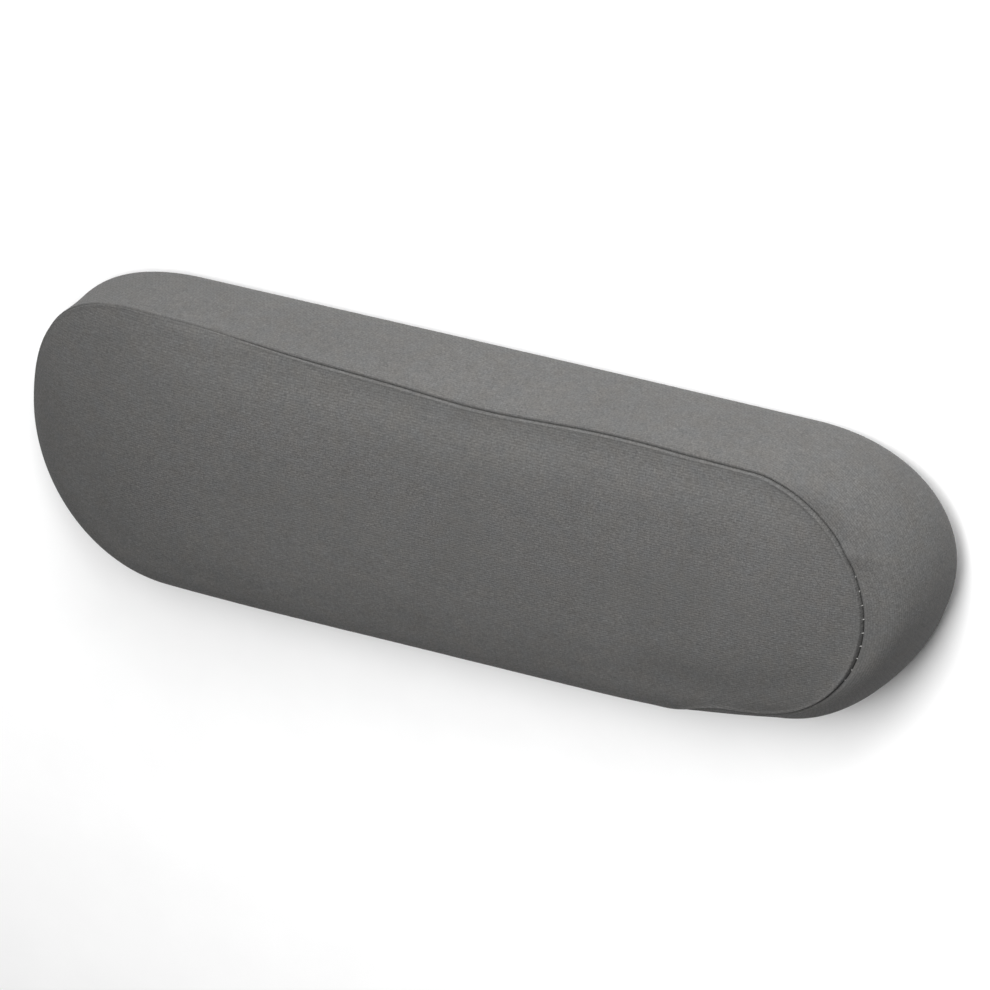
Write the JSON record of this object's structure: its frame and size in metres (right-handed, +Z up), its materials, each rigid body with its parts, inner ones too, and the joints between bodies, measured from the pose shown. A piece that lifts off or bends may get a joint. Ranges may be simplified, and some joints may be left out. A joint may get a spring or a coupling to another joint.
{
  "type": "chair armrest pad",
  "caption": "Upholstered stadium-shaped armrest pad for an office chair: fabric cover sewn over foam on a plywood board, with tee nuts underneath for the arm bracket's bolts.",
  "frame": {"origin": "middle of the underside, on the plane of the dust cover", "axes": "+Z up through the arm face, X along the pad, Y across it"},
  "size_m": [0.305, 0.0951, 0.042],
  "materials": {
    "cover_fabric": "woven, matt",
    "sewing_thread": "twisted polyester",
    "fibre_wadding": "lofted fibre",
    "soft_foam": "open-cell foam",
    "dense_foam": "open-cell foam",
    "plywood": "unfinished birch ply",
    "zinc_steel": "zinc plated",
    "staple_wire": "galvanised",
    "dust_cloth": "non-woven"
  },
  "bodies": {
    "root": {"top_panel": "cover_fabric", "side_band": "cover_fabric", "seam_thread": "sewing_thread", "band_join_thread": "sewing_thread", "fibre_wrap": "fibre_wadding", "comfort_foam": "soft_foam", "firm_foam": "dense_foam", "core_board": "plywood", "tee_nuts": "zinc_steel", "hem_staples": "staple_wire", "dust_cover": "dust_cloth", "dust_cover_staples": "staple_wire"}
  },
  "joints": []
}
